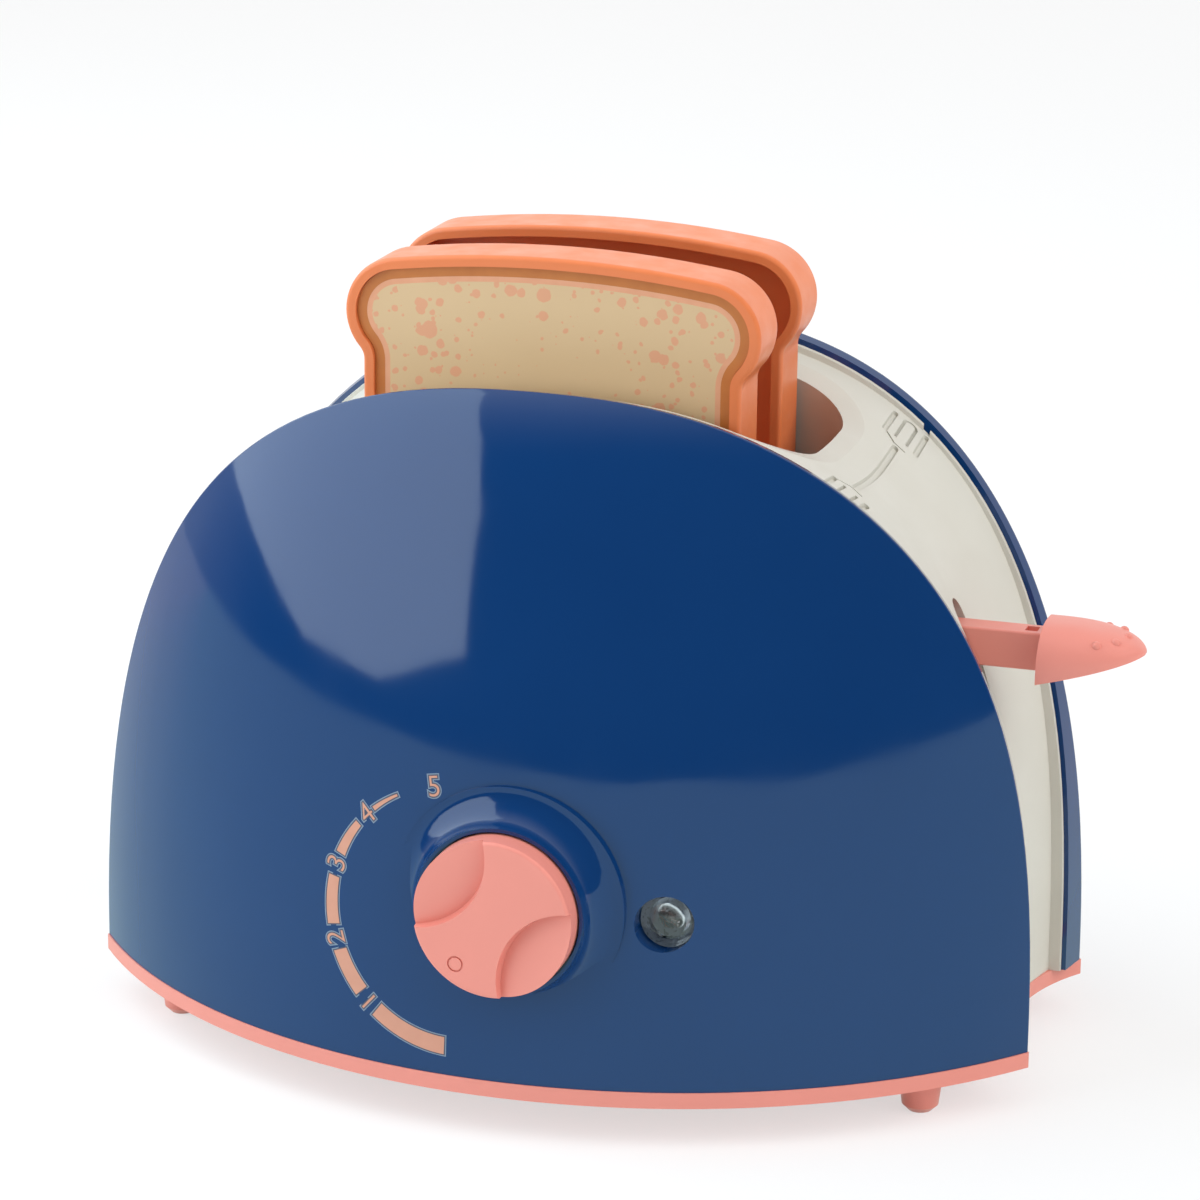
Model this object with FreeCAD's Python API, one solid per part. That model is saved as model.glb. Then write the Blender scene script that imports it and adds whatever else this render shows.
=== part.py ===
"""Toy pop-up toaster: shell, base, lever carriage, dial, lamp and two slices of toast.

Millimetres. +Z is up, the panel with the dial faces -Y, the lever is on +X.
The origin lies on the surface the feet stand on, below the middle of the whole toy's box.
The shapes are drawn about the midpoint between the covers' corners and moved there at the end.
"""

import FreeCAD
import Part
import math
import os

V = FreeCAD.Vector

# Middle of the whole toy's box, from the midpoint between the covers' corners
box_middle = V(8.9, -4.05, 0)

# Casing outline
width = 220.0
corner_gap = 58.4
panel_bulge = 53.4
casing_height = 144.3
arch_power_x = 2.4
arch_power_z = 2.7
panel_tuck = 46.7
crown_margin = 2.9
wall = 2.2
fit_gap = 0.15
rim_flare = 0.22
rim_inner_y = (21.2, 25.4, 33.8, 42.4)
rim_inner_at = (0.0, 0.5, 0.8, 1.0)
edge_round = 0.6

# Cream middle section
waist_depth = 9.2
top_depth = 3.6
waist_spread = 12.0
waist_slope = 0.31
middle_wall = 2.6
lip_width = 1.0
lip_drop = 1.0

# Moulded marks on the shoulder, seen from above
relief_depth = 0.7
tab_left_x = 61.1
tab_right_x = 68.4
tab_loop_x = 64.85
tab_loop_half = 1.35
tab_start_y = 22.8
tab_foot_y = 19.9
tab_loop_end_y = 32.2
tab_groove_end_y = 33.0
tab_thick_line = 1.3
tab_loop_line = 0.7
tab_thin_line = 0.5
bow_x = 64.7
bow_line = 1.5
bow_half_y = 18.4
notch_x = (67.2, 68.9)
notch_y = (33.5, 38.0)

# Base and feet
foot_height = 9.4
foot_top_radius = 5.2
foot_tip_radius = 4.1
foot_tip_round = 1.4
foot_x = 88.0
foot_y = 37.5
band_height = 3.6
floor_thickness = 2.2
weld = 0.5
band_overhang = 0.3
lip_height = 3.0
lip_wall = 1.8

# Slot and slices
slot_length = 115.0
slot_width = 52.4
slot_corner_radius = 16.0
slot_dish_width = 5.5
slot_dish_depth = 1.5
chute_wall = 2.3
chute_bottom = 118.0
slice_pitch = 34.4
slice_shift = -3.5
slice_half_width = 43.6
slice_lobe_reach = 47.8
slice_lobe_radius = 12.5
slice_neck_radius = 4.0
slice_corner_radius = 6.0
slice_crown_radius = 260.0
slice_height = 97.3
slice_thickness = 14.6
slice_rim = 2.5
slice_round = 1.0
slice_face = 1.8
print_recess = 1.4
print_thickness = 0.3

# Carriage, rods and springs
tray_top = 84.5
tray_thickness = 2.5
tray_rib_height = 7.0
tray_rib = 1.6
slice_side_gap = 0.5
seat_gap = 0.2
carriage_travel = 42.0
rod_x = 66.0
rod_radius = 2.0
rod_end = 124.0
rod_boss_radius = 4.5
running_gap = 0.05
bush_radius = 3.2
hub_radius = 5.5
hub_height = 16.0
rod_socket_radius = 5.0
rod_socket_top = 20.0
spring_wire = 0.45
spring_radius = 3.6
spring_turns = 12
stop_gap = 0.2

# Lever
lever_y = -7.0
lever_z = 99.2
arm_height = 8.6
arm_width = 6.7
arm_wall = 1.2
arm_start = 74.0
tongue_length = 9.0
bracket_half_y = 2.6
slit_width = 7.4
slit_headroom = 5.0
handle_start = 106.0
handle_length = 22.2
handle_width = 23.0
handle_bottom = 94.3
handle_tip_z = 100.4
handle_top = 106.2
handle_taper = 2.6
handle_fullness = 0.55
handle_wall = 1.8
tenon_length = 4.6
tenon_inset = 0.8
nub_radius = 1.1
nub_sink = 0.4
nub_runs = (12.4, 16.2, 18.0)
nub_spreads = (7.6, 5.0, 0.0)
handle_stations = (0.0, 4.0, 8.0, 12.0, 15.5, 18.5, 20.5, 21.6, 22.1)

# Dial
dial_x = 5.8
dial_z = 53.3
knob_radius = 17.6
knob_front = 91.0
knob_depth = 7.0
knob_round = 0.8
boss_radius = 18.9
boss_front = 85.6
boss_flare = 7.0
recess_depth = 1.9
ring_gap = 0.5
hub_front = 80.0
stem_radius = 4.0
bush_wall = 2.0
grip_waist = 6.3
scoop_radius = 17.0
scoop_depth = 3.0
scoop_tilt = 12.5
marker_angle = 233.6
marker_radius = 1.8
marker_reach = 13.2
click_teeth = 24
click_radius = 11.5
click_tooth = 0.9
click_thickness = 4.0
wheel_front = -74.0
click_back = -69.5
click_reach = 7.5
click_leaf = 0.5
washer_thickness = 0.8

# Lamp
lamp_x = 39.5
lamp_z = 51.0
lamp_hole_radius = 6.15
lens_gap = 0.15
lens_flange_radius = 7.5
lamp_seat_y = -70.5
lamp_tube_end = -62.0
lamp_tube_wall = 1.6
led_radius = 2.5
lens_front = -74.8
lens_edge = -72.6
lens_flange = 1.2
led_leg_gap = 1.27
wire_radius = 0.55
wire_bend = 2.4

# Battery bay, board and switch
cell_radius = 7.1
cell_length = 50.0
bay_wall = 2.0
bay_clearance = 0.4
contact_room = 3.6
door_thickness = 2.0
door_gap = 0.25
pad_radius = 13.0
pad_thickness = 1.5
cup_radius = 11.0
board_x = -61.0
board_y = -34.0
board_length = 38.0
board_width = 24.0
board_thickness = 1.6
board_lift = 6.0
switch_x = -44.0
roller_radius = 2.0
board_post_radius = 2.6

# Screws
screw_radius = 1.3
screw_head_radius = 2.7
screw_head_height = 1.9
screw_boss_radius = 3.6
screw_clearance = 0.3
head_clearance = 0.4
ear_y = 27.5
ear_thickness = 2.4
ear_half_height = 5.0
cover_posts = ((-70.0, 40.0), (70.0, 40.0), (-62.0, 100.0), (62.0, 100.0))
side_post_x = 90.0
side_post_y = 13.0
side_post_height = 16.0
cover_screw_length = 13.0
base_screw_length = 15.0
door_screw_length = 9.0
small_screw_length = 6.0
dial_screw_length = 8.0
cross_width = 0.7
cross_depth = 1.0

# Derived places
half_width = width / 2
corner_y = corner_gap / 2
base_z = foot_height + band_height
panel_radius = (half_width ** 2 + panel_bulge ** 2) / (2 * panel_bulge)
panel_axis_y = panel_radius - panel_bulge - corner_y
top_z = base_z + casing_height
apex_y = panel_radius - panel_axis_y - panel_tuck * 0.8
far = 300.0
slice_bottom = tray_top + seat_gap
slice_y = slice_pitch / 2
tray_bottom = tray_top - tray_thickness
hub_bottom = tray_bottom - 3.0
hub_top = hub_bottom + hub_height
floor_top = foot_height + floor_thickness
slot_x = slice_shift
arm_bottom = lever_z - arm_height / 2
arm_top = lever_z + arm_height / 2
slit_top = arm_top + slit_headroom
slit_bottom = arm_bottom - carriage_travel - slit_headroom
bay_inner_y = 2 * cell_radius + bay_clearance
bay_inner_x = cell_length / 2 + contact_room
bay_roof = foot_height + door_thickness + 2 * cell_radius + 2 * bay_clearance
pad_top = bay_roof + bay_wall + pad_thickness
cell_z = foot_height + door_thickness + bay_clearance + cell_radius
board_z = floor_top + board_lift
click_seat = V(dial_x + click_radius + click_reach, click_back, dial_z)
door_screw_y = bay_inner_y + 7.0
door_screw_seat = foot_height + 1.0
base_screw_seat = floor_top - 0.6
cup_top = tray_bottom - 2.0
tongue_half_y = arm_width / 2 - arm_wall
tongue_half_z = arm_height / 2 - arm_wall
lever_screw_seat = V(arm_start + 5.0, lever_y, lever_z + tongue_half_z)
stem_end = wheel_front + click_thickness
led_flange_y = lamp_tube_end - 2.0
led_back_y = lamp_tube_end + 1.0
wire_drop_y = led_back_y + 8
switch_stand = floor_top + 5


# Basic solids
def block(x0, x1, y0, y1, z0, z1):
    return Part.makeBox(x1 - x0, y1 - y0, z1 - z0, V(x0, y0, z0))


def post(radius, start, end):
    run = end - start
    return Part.makeCylinder(radius, run.Length, start, run)


def cone(radius_start, radius_end, start, end):
    run = end - start
    return Part.makeCone(radius_start, radius_end, run.Length, start, run)


def ring(outer, inner, start, end):
    return post(outer, start, end).cut(post(inner, start, end))


def joined(pieces):
    whole = pieces[0].multiFuse(pieces[1:]) if len(pieces) > 1 else pieces[0]
    return whole.removeSplitter()


def turned(profile, origin, direction):
    """Solid of revolution from (radius, distance along the axis) points."""
    corners = [V(radius, 0, along) for radius, along in profile]
    face = Part.Face(Part.makePolygon(corners + corners[:1]))
    solid = face.revolve(V(0, 0, 0), V(0, 0, 1), 360)
    turn = FreeCAD.Rotation(V(0, 0, 1), direction)
    solid.Placement = FreeCAD.Placement(origin, turn)
    return solid


def strip(start, end, half, z0, z1):
    """Upright slab with round ends between two places seen from above."""
    run = V(end[0] - start[0], end[1] - start[1], 0)
    slab = Part.makeBox(run.Length, 2 * half, z1 - z0, V(0, -half, 0))
    turn = FreeCAD.Rotation(V(1, 0, 0), run)
    slab.Placement = FreeCAD.Placement(V(start[0], start[1], z0), turn)
    ends = [post(half, V(x, y, z0), V(x, y, z1)) for x, y in (start, end)]
    return joined([slab] + ends)


def moved(shape, x=0.0, y=0.0, z=0.0):
    copy = shape.copy()
    copy.translate(V(x, y, z))
    return copy


def to_rear(shape):
    return shape.mirror(V(0, 0, 0), V(0, 1, 0))


def screw(seat, direction, length):
    """Pan-head screw: seat is under the head, direction is the way it is driven."""
    back = seat - direction * screw_head_height
    shank = post(screw_radius, seat, seat + direction * length)
    body = post(screw_head_radius, back, seat).fuse(shank)
    head_rim = [edge for edge in body.Edges
                if edge.BoundBox.Center.distanceToPoint(back) < 0.01 and edge.Length > screw_head_radius]
    body = body.makeFillet(0.6, head_rim)
    turn = FreeCAD.Rotation(V(0, 0, 1), direction)
    reach = screw_head_radius * 1.2
    for cross_x, cross_y in ((reach, cross_width), (cross_width, reach)):
        corner = V(-cross_x / 2, -cross_y / 2, -cross_depth)
        bar = Part.makeBox(cross_x, cross_y, 2 * cross_depth, corner)
        bar.Placement = FreeCAD.Placement(back, turn)
        body = body.cut(bar)
    return body


def wire_run(points, radius, bend):
    """Round wire along straight runs with tangent arcs at the corners."""
    edges = []
    here = points[0]
    for corner, after in zip(points[1:-1], points[2:]):
        into = (corner - here).normalize()
        out = (after - corner).normalize()
        half = into.getAngle(out) / 2
        cut_back = bend * math.tan(half)
        start = corner - into * cut_back
        end = corner + out * cut_back
        middle = corner + (out - into).normalize() * (bend / math.cos(half) - bend)
        edges.append(Part.LineSegment(here, start).toShape())
        edges.append(Part.Arc(start, middle, end).toShape())
        here = end
    edges.append(Part.LineSegment(here, points[-1]).toShape())
    path = Part.Wire(edges)
    section = Part.Wire(Part.makeCircle(radius, points[0], (points[1] - points[0]).normalize()))
    return path.makePipeShell([section], True, False)


# Casing shapes
def arch_wire(half_span, height, y):
    """Closed arch outline standing on the casing's floor plane."""
    steps = 24
    points = []
    for step in range(steps + 1):
        angle = math.pi * step / steps
        across = -math.copysign(abs(math.cos(angle)) ** (2 / arch_power_x), math.cos(angle))
        up = abs(math.sin(angle)) ** (2 / arch_power_z) if 0 < step < steps else 0.0
        points.append(V(half_span * across, y, base_z + height * up))
    curve = Part.BSplineCurve()
    curve.interpolate(points)
    return Part.Wire([curve.toShape(), Part.LineSegment(points[-1], points[0]).toShape()])


def flared_arch(inset):
    """Front half of the covers' side wall, wider towards the front, moved in by inset."""
    wires = []
    for y in (-5.0, -far / 3):
        half_span = half_width + rim_flare * (-y - corner_y) - inset
        height = casing_height + rim_flare * (-y - apex_y) - inset
        wires.append(arch_wire(half_span, height, y))
    return Part.makeLoft(wires, True, True)


def waist_half_span(y, inset):
    """Half the width of the cream section: least halfway between the covers."""
    rise = waist_spread * (math.hypot(y / waist_spread, 1.0) - 1.0)
    return half_width - waist_depth - inset + waist_slope * rise


def waist_arch(inset, reach):
    wires = []
    for share in (-1.0, -0.72, -0.48, -0.24, 0.0, 0.24, 0.48, 0.72, 1.0):
        y = reach * share
        wires.append(arch_wire(waist_half_span(y, inset), casing_height - top_depth - inset, y))
    return Part.makeLoft(wires, True, False)


def waist_prism(inset, z0, z1):
    """Upright solid with the cream section's plan at the floor."""
    sides = []
    for side in (-1, 1):
        points = []
        for step in range(-9, 10):
            y = step * 10.0
            points.append(V(side * waist_half_span(y, inset), y, z0))
        curve = Part.BSplineCurve()
        curve.interpolate(points)
        sides.append((curve.toShape(), points))
    ends = [Part.LineSegment(sides[0][1][at], sides[1][1][at]).toShape() for at in (0, -1)]
    outline = Part.Wire(Part.__sortEdges__([sides[0][0], ends[1], sides[1][0], ends[0]]))
    return Part.Face(outline).extrude(V(0, 0, z1 - z0))


def panel_barrel(inset):
    """Solid bounded by the front panel's surface: an upright barrel, moved in by inset."""
    centre = V(panel_radius - panel_tuck, panel_axis_y, base_z)
    up = casing_height + crown_margin - inset
    out = panel_tuck - inset
    ellipse = Part.Ellipse(centre + V(0, 0, up), centre + V(out, 0, 0), centre)
    belly = centre + V(out, 0, 0)
    crown = centre + V(0, 0, up)
    span = sorted((ellipse.parameter(belly), ellipse.parameter(crown)))
    if span[1] - span[0] > math.pi:
        span = [span[1], span[0] + 2 * math.pi]
    arc = Part.Arc(ellipse, span[0], span[1]).toShape()
    foot = V(0, panel_axis_y, base_z)
    head = V(0, panel_axis_y, base_z + up)
    edges = [arc, Part.LineSegment(crown, head).toShape(), Part.LineSegment(head, foot).toShape(),
             Part.LineSegment(foot, belly).toShape()]
    face = Part.Face(Part.Wire(Part.__sortEdges__(edges)))
    return face.revolve(V(0, panel_axis_y, 0), V(0, 0, 1), 360)


def between_rims(offset):
    """Prism across the casing that holds what lies between the two covers' inner rims."""
    curves = []
    for side in (-1, 1):
        points = []
        for at, y in zip(rim_inner_at, rim_inner_y):
            points.append(V(-half_width * 1.5, side * (y + offset), base_z + casing_height * at))
        curve = Part.BSplineCurve()
        curve.interpolate(points)
        curves.append(curve)
    left, right = [curve.toShape() for curve in curves]
    lower = [curve.value(curve.FirstParameter) for curve in curves]
    upper = [curve.value(curve.LastParameter) for curve in curves]
    rise = V(0, 0, 30)
    outline = [left, Part.LineSegment(upper[0], upper[0] + rise).toShape(),
               Part.LineSegment(upper[0] + rise, upper[1] + rise).toShape(),
               Part.LineSegment(upper[1] + rise, upper[1]).toShape(), right,
               Part.LineSegment(lower[1], lower[1] - rise).toShape(),
               Part.LineSegment(lower[1] - rise, lower[0] - rise).toShape(),
               Part.LineSegment(lower[0] - rise, lower[0]).toShape()]
    face = Part.Face(Part.Wire(Part.__sortEdges__(outline)))
    return face.extrude(V(3 * half_width, 0, 0))


def cover_blank():
    outer = flared_arch(0).common(panel_barrel(0))
    rim = [edge for edge in outer.Edges if is_panel_rim(edge)]
    outer = outer.makeFillet(edge_round, rim)
    inner = flared_arch(wall).common(panel_barrel(wall))
    return outer.cut(inner).cut(between_rims(0))


def is_panel_rim(edge):
    """True for the edge where the panel meets the cover's side wall."""
    box = edge.BoundBox
    return box.XLength > width - 1 and box.ZLength > casing_height - 10 and box.YMax < -20


def panel_y(x, z, inset=0.0):
    """Front panel surface at a place, moved in by inset."""
    share = (z - base_z) / (casing_height + crown_margin - inset)
    radius = panel_radius - panel_tuck + (panel_tuck - inset) * math.sqrt(1 - share * share)
    return panel_axis_y - math.sqrt(radius ** 2 - x ** 2)


# Covers
def cover_with_bosses():
    cover = cover_blank()
    bosses = []
    for x, z in cover_posts:
        tube = post(screw_boss_radius, V(x, -ear_y, z), V(x, -100, z))
        bosses.append(tube.common(panel_barrel(wall / 2)))
    cover = cover.fuse(bosses)
    for x, z in cover_posts:
        cover = cover.cut(post(screw_radius, V(x, -ear_y, z), V(x, -ear_y - 14, z)))
    return cover


def dial_boss():
    """Raised seat of the knob, its side hollowed towards the panel."""
    foot_radius = boss_radius + boss_flare
    front = dial_axis(-boss_front)
    boss = post(foot_radius, dial_axis(-60), front)
    boss = boss.cut(Part.makeTorus(foot_radius, boss_flare, front, V(0, 1, 0)))
    return boss.cut(panel_barrel(wall / 2))


def lamp_at(y):
    return V(lamp_x, y, lamp_z)


def front_cover():
    inside = panel_barrel(wall / 2)
    hub_radius_out = stem_radius + bush_wall + 2.0
    hub = post(hub_radius_out, dial_axis(wheel_front), dial_axis(-hub_front))
    lamp = post(lens_flange_radius + lens_gap + lamp_tube_wall, lamp_at(lamp_tube_end), lamp_at(-90))
    click_post = block(click_seat.x - 2.5, click_seat.x + 2.5, -80, click_back, dial_z - 5, dial_z + 5)
    pieces = [dial_boss(), hub, lamp.common(inside), click_post.common(inside)]
    cover = cover_with_bosses().fuse(pieces)
    recess_y = recess_depth - boss_front
    recess = post(knob_radius + ring_gap, dial_axis(recess_y), dial_axis(-100))
    bore = post(stem_radius + bush_wall, dial_axis(-60), dial_axis(-100))
    core = ring(knob_radius - 0.5, hub_radius_out, dial_axis(wheel_front), dial_axis(recess_y + wall))
    hole = post(lamp_hole_radius, lamp_at(-60), lamp_at(-100))
    seat = post(lens_flange_radius + lens_gap, lamp_at(lamp_tube_end), lamp_at(lamp_seat_y))
    pilot = post(screw_radius, click_seat, click_seat + V(0, -8, 0))
    return cover.cut([recess, bore, core, hole, seat, pilot])


def rear_cover():
    return to_rear(cover_with_bosses())


# Cream body
def slot_prism(grow, z0, z1):
    """Rounded-rectangle bread slot, moved out by grow."""
    half_x = slot_length / 2 + grow
    half_y = slot_width / 2 + grow
    prism = block(slot_x - half_x, slot_x + half_x, -half_y, half_y, z0, z1)
    corners = [edge for edge in prism.Edges if edge.BoundBox.ZLength > z1 - z0 - 0.01]
    return prism.makeFillet(slot_corner_radius + grow, corners)


def body_skin():
    """Arch band that bridges the covers, with a lip beside each rim and a ledge under it."""
    waist = waist_arch(0, 60.0).common(between_rims(-fit_gap))
    front_lip = flared_arch(lip_drop + 0.01).common(between_rims(-fit_gap))
    front_lip = front_lip.cut(between_rims(-lip_width))
    ledge = flared_arch(wall + fit_gap).cut(between_rims(-lip_width))
    ledge = ledge.common(panel_barrel(wall + fit_gap))
    outer = waist.fuse([front_lip, to_rear(front_lip), ledge, to_rear(ledge)])
    return outer.cut(waist_arch(middle_wall, 100.0))


def tab_marks():
    """Grooves of the rear tab: two sides, a loop open at the foot, a rounded foot line."""
    z0 = chute_bottom
    z1 = top_z
    thick = tab_thick_line / 2
    thin = tab_thin_line / 2
    half_line = tab_loop_line / 2
    left = strip((tab_left_x, tab_start_y), (tab_left_x, tab_groove_end_y), thick, z0, z1)
    right = strip((tab_right_x, tab_start_y), (tab_right_x, tab_groove_end_y), thick, z0, z1)
    loop_foot = (tab_loop_x, tab_start_y)
    loop_head = (tab_loop_x, tab_loop_end_y)
    loop = strip(loop_foot, loop_head, tab_loop_half + half_line, z0, z1)
    loop = loop.cut(strip(loop_foot, loop_head, tab_loop_half - half_line, z0, z1))
    loop = loop.cut(block(tab_left_x, tab_right_x, 0, tab_start_y, z0, z1))
    bend_x = tab_left_x + tab_start_y - tab_foot_y
    bend = strip((tab_left_x, tab_start_y), (bend_x, tab_foot_y), thin, z0, z1)
    foot_line = strip((bend_x, tab_foot_y), (tab_right_x - 2.0, tab_foot_y), thin, z0, z1)
    return [left, right, loop, bend, foot_line]


def relief_tool():
    """Shallow moulded marks on the right shoulder: a tab at each rim and the bar between."""
    marks = tab_marks()
    marks += [to_rear(mark) for mark in marks]
    bow_ends = ((bow_x, -bow_half_y), (bow_x, bow_half_y))
    marks.append(strip(bow_ends[0], bow_ends[1], bow_line / 2, chute_bottom, top_z))
    layer = waist_arch(-2.0, 60.0).cut(waist_arch(relief_depth, 60.0))
    notch = block(notch_x[0], notch_x[1], notch_y[0], notch_y[1], chute_bottom, top_z)
    notch_layer = flared_arch(0).cut(waist_arch(0, 60.0))
    notches = [to_rear(notch).common(notch_layer)]
    notches.append(to_rear(notches[0]))
    return [mark.common(layer) for mark in marks] + notches


def rod_bosses(roof):
    """Tubes under the roof that hold the upper ends of the guide rods."""
    tubes = []
    for side in (-1, 1):
        x = side * rod_x
        tube = post(rod_boss_radius, V(x, 0, hub_top + stop_gap), V(x, 0, top_z))
        tubes.append(tube.common(roof))
    return tubes


def side_posts():
    """Where the base screws run, as (side, x, y)."""
    return [(side, side * side_post_x, end * side_post_y) for side in (-1, 1) for end in (-1, 1)]


def side_post_tubes(roof):
    """Screw posts low on the side walls, each with a web to the wall."""
    tubes = []
    z0 = base_z + lip_height + 0.3
    z1 = base_z + side_post_height
    for side, x, y in side_posts():
        reach = x + side * 13
        web = block(min(x, reach), max(x, reach), y - 2.5, y + 2.5, z0, z1)
        tube = post(screw_boss_radius, V(x, y, z0), V(x, y, z1))
        tubes.append(joined([tube, web.common(roof)]))
    return tubes


def cover_ears():
    """Tabs inside the side walls that the cover screws pass through."""
    ears = []
    inner = waist_arch(middle_wall / 2, 100.0)
    for x, z in cover_posts:
        for side in (-1, 1):
            y0 = side * ear_y
            y1 = side * (ear_y - ear_thickness)
            reach = x + math.copysign(45, x)
            ear = block(min(x, reach), max(x, reach), min(y0, y1), max(y0, y1),
                        z - ear_half_height, z + ear_half_height)
            pad = post(ear_half_height, V(x, y0, z), V(x, y1, z))
            ears.append(joined([ear.common(inner), pad]))
    return ears


def lever_slit():
    """Upright slit with round ends in the right wall that the lever arm runs in."""
    slit = block(75, 120, lever_y - slit_width / 2, lever_y + slit_width / 2, slit_bottom, slit_top)
    ends = [edge for edge in slit.Edges if edge.BoundBox.XLength > 40]
    return slit.makeFillet(slit_width / 2 - 0.2, ends)


def body_shell():
    roof = waist_arch(middle_wall / 2, 60.0)
    chute = slot_prism(chute_wall, chute_bottom, top_z).common(roof)
    body = body_skin().fuse([chute] + rod_bosses(roof) + side_post_tubes(roof) + cover_ears())
    cuts = [slot_prism(0, chute_bottom - 5, far), lever_slit()]
    for side in (-1, 1):
        cuts.append(post(rod_radius, V(side * rod_x, 0, 0), V(side * rod_x, 0, rod_end)))
    for side, x, y in side_posts():
        cuts.append(post(screw_radius, V(x, y, base_z), V(x, y, base_z + side_post_height - 2)))
    for x, z in cover_posts:
        cuts.append(post(screw_radius + screw_clearance, V(x, -60, z), V(x, 60, z)))
    body = body.cut(cuts)
    mouth = [edge for edge in body.Edges if is_slot_mouth(edge)]
    body = body.makeChamfer(slot_dish_width, slot_dish_depth, mouth)
    return body.cut(relief_tool())


def is_slot_mouth(edge):
    """True for the edges where the slot's wall meets the top of the casing."""
    middle = edge.valueAt((edge.FirstParameter + edge.LastParameter) / 2)
    x = abs(middle.x - slot_x) - (slot_length / 2 - slot_corner_radius)
    y = abs(middle.y) - (slot_width / 2 - slot_corner_radius)
    reach = math.hypot(x, y) if min(x, y) > 0 else max(x, y)
    on_wall = abs(reach - slot_corner_radius) < 0.05
    return on_wall and edge.BoundBox.ZMin > chute_bottom + 5 and edge.BoundBox.ZLength < 16


# Base
def base_outline(grow):
    """Foot print of the casing, moved out by grow."""
    radius = panel_radius + grow
    reach = half_width + grow
    corner = math.sqrt(radius ** 2 - reach ** 2) - panel_axis_y
    front = V(0, -(radius - panel_axis_y), 0)
    waist = V(half_width - waist_depth + grow, 0, 0)
    right_front = V(reach, -corner, 0)
    right_rear = V(reach, corner, 0)
    left_front = V(-reach, -corner, 0)
    left_rear = V(-reach, corner, 0)
    edges = [Part.Arc(left_front, front, right_front), Part.Arc(right_front, waist, right_rear),
             Part.Arc(right_rear, V(0, -front.y, 0), left_rear),
             Part.Arc(left_rear, V(-waist.x, 0, 0), left_front)]
    return Part.Wire([edge.toShape() for edge in edges])


def base_slab(grow, z0, z1):
    slab = Part.Face(base_outline(grow)).extrude(V(0, 0, z1 - z0))
    return moved(slab, z=z0)


def foot(x, y):
    profile = [(0, 0), (foot_tip_radius - foot_tip_round, 0), (foot_tip_radius, foot_tip_round),
               (foot_top_radius, foot_height + weld), (0, foot_height + weld)]
    return turned(profile, V(x, y, 0), V(0, 0, 1))


def seat_lip():
    """Upright rim of the base that fits inside the casing."""
    outer = wall + fit_gap
    middle = middle_wall + fit_gap
    lip = base_slab(-outer, floor_top - weld, base_z + lip_height)
    lip = lip.common(waist_prism(middle, foot_height, far))
    room = base_slab(-outer - lip_wall, floor_top, far)
    return lip.cut(room.common(waist_prism(middle + lip_wall, foot_height, far)))


def base_solids():
    """Tray, rim, feet, battery bay, sockets and screw posts of the base."""
    pieces = [base_slab(band_overhang, foot_height, base_z).cut(base_slab(-wall, floor_top, base_z))]
    pieces.append(seat_lip())
    pieces += [foot(side * foot_x, end * foot_y) for side in (-1, 1) for end in (-1, 1)]
    bay_x = bay_inner_x + bay_wall
    bay_y = bay_inner_y + bay_wall
    pieces.append(block(-bay_x, bay_x, -bay_y, bay_y, floor_top - weld, bay_roof + bay_wall))
    for side in (-1, 1):
        x = side * rod_x
        pieces.append(post(rod_socket_radius, V(x, 0, foot_height), V(x, 0, rod_socket_top)))
    for side, x, y in side_posts():
        pieces.append(post(screw_boss_radius + 1.4, V(x, y, foot_height), V(x, y, base_z + lip_height)))
    for x, y in board_screws_at():
        pieces.append(post(board_post_radius, V(x, y, foot_height + weld), V(x, y, board_z)))
    pieces.append(block(switch_x - 4, switch_x + 4, -5, 5, foot_height + weld, switch_stand))
    pieces.append(post(4.0, V(0, door_screw_y, foot_height + weld), V(0, door_screw_y, bay_roof)))
    return pieces


def base_plate():
    cuts = [block(-bay_inner_x, bay_inner_x, -bay_inner_y, bay_inner_y, 0, bay_roof)]
    cuts.append(door_blank(0.0))
    for side in (-1, 1):
        cuts.append(post(rod_radius, V(side * rod_x, 0, floor_top), V(side * rod_x, 0, far)))
    for side, x, y in side_posts():
        cuts.append(post(screw_radius + screw_clearance, V(x, y, 0), V(x, y, far)))
        cuts.append(post(screw_head_radius + head_clearance, V(x, y, 0), V(x, y, base_screw_seat)))
    for x, y in board_screws_at():
        cuts.append(post(screw_radius, V(x, y, floor_top), V(x, y, far)))
    cuts.append(post(screw_radius, V(0, door_screw_y, 0), V(0, door_screw_y, bay_roof - 2)))
    return joined(base_solids()).cut(cuts)


def door_blank(inset):
    """Battery door outline: lid over the bay with a screw tab at the rear."""
    lid = block(-bay_inner_x - 1 + inset, bay_inner_x + 1 - inset, -bay_inner_y - 1 + inset,
                bay_inner_y + 1 - inset, foot_height, foot_height + door_thickness)
    tab = post(6.0 - inset, V(0, door_screw_y, foot_height), V(0, door_screw_y, foot_height + door_thickness))
    bridge = block(-6.0 + inset, 6.0 - inset, bay_inner_y - 1, door_screw_y, foot_height,
                   foot_height + door_thickness)
    return joined([lid, bridge, tab])


def battery_door():
    door = door_blank(door_gap)
    ribs = [block(-12, 12, y - 0.5, y + 0.5, foot_height - 0.01, foot_height + 0.6)
            for y in (-9, -6, -3, 0, 3)]
    hole = post(screw_radius + screw_clearance, V(0, door_screw_y, 0), V(0, door_screw_y, far))
    sink_end = V(0, door_screw_y, door_screw_seat)
    sink = post(screw_head_radius + head_clearance, V(0, door_screw_y, 0), sink_end)
    return door.cut(ribs + [hole, sink])


def board_screws_at():
    inset = 4.0
    return [(board_x - board_length / 2 + inset, board_y - board_width / 2 + inset),
            (board_x + board_length / 2 - inset, board_y + board_width / 2 - inset)]


# Screws that hold the casing together
def base_screws():
    return [screw(V(x, y, base_screw_seat), V(0, 0, 1), base_screw_length) for side, x, y in side_posts()]


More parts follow.
